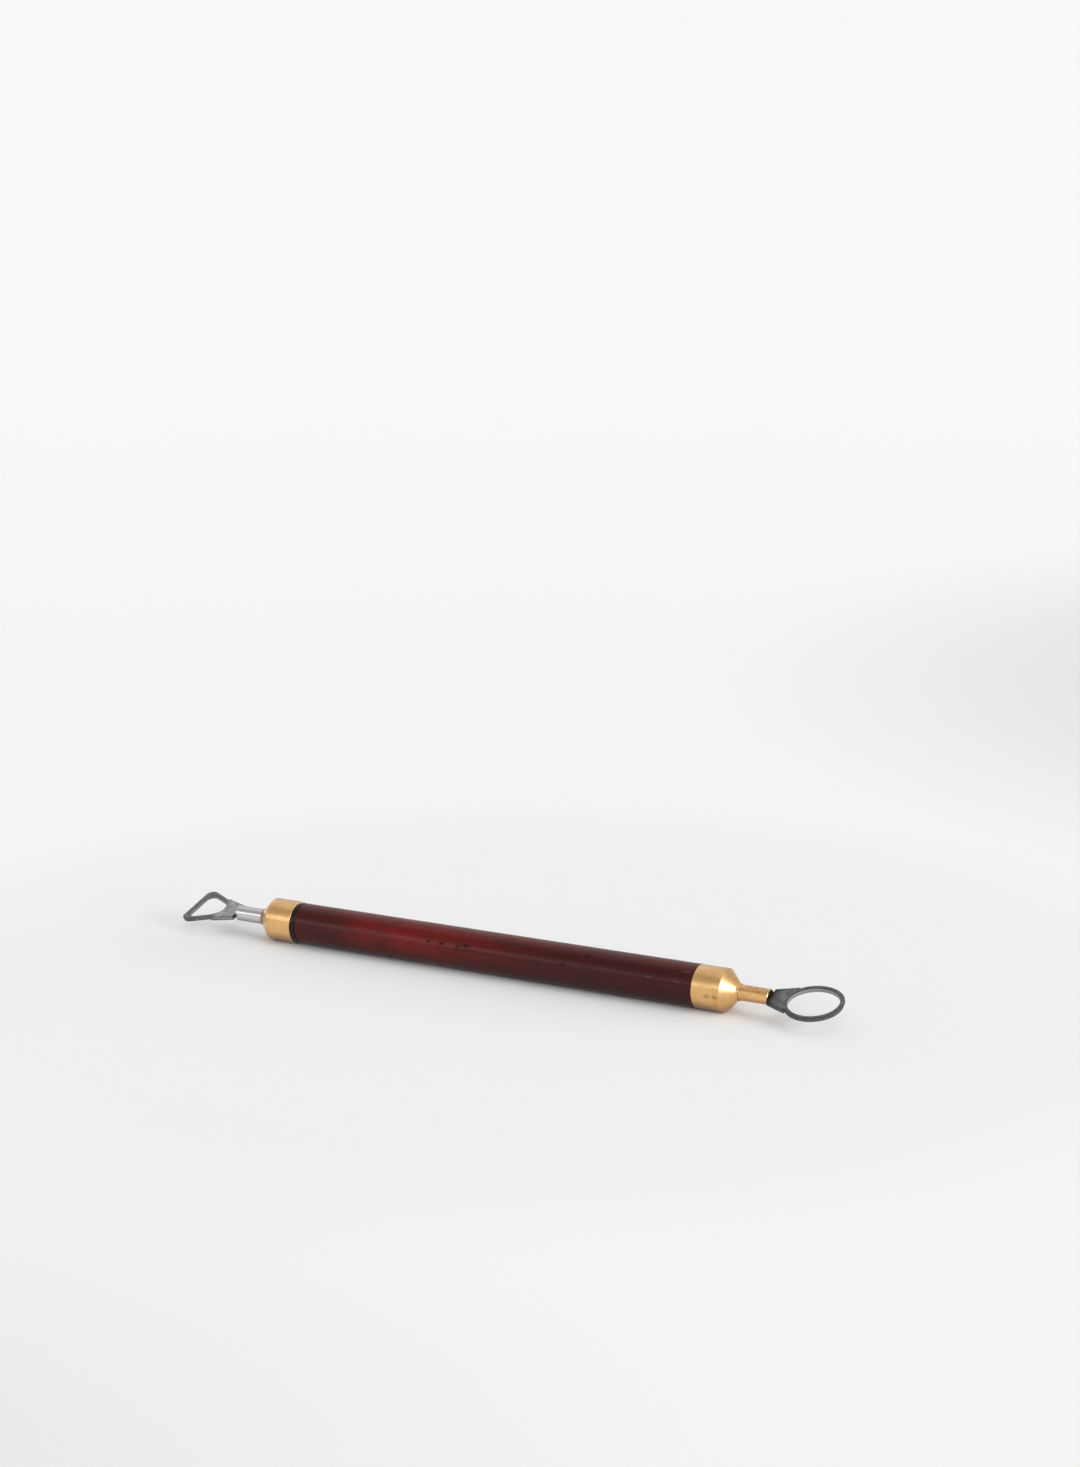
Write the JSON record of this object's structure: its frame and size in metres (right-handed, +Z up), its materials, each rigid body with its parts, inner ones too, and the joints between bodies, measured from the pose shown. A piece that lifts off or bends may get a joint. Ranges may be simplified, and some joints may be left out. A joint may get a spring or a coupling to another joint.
{
  "type": "pottery trimming tool",
  "caption": "Double-ended pottery trimming tool: a turned hardwood handle with brass ferrules, a round loop cutter at one end and a rounded triangular one at the other.",
  "frame": {"origin": "under the middle of the overall length, on the surface that the tool lies on", "axes": "+X along the tool towards the round loop, +Z up; the cutters lie rolled by fifteen degrees about X, the edge towards -Y lower"},
  "size_m": [0.2154, 0.017, 0.0126],
  "materials": {
    "hardwood": "lacquered, satin gloss",
    "black_ring": "glossy",
    "brass": "turned and lightly polished",
    "polished_steel": "polished",
    "cutter_metal": "dark, heat-darkened, with lighter edges"
  },
  "bodies": {
    "root": {"handle": "hardwood", "spacer_ring": "black_ring", "ferrule_left": "brass", "ferrule_right": "brass", "shank_left": "polished_steel", "shank_right": "brass", "cutter_triangular": "cutter_metal", "cutter_round": "cutter_metal"}
  },
  "joints": []
}
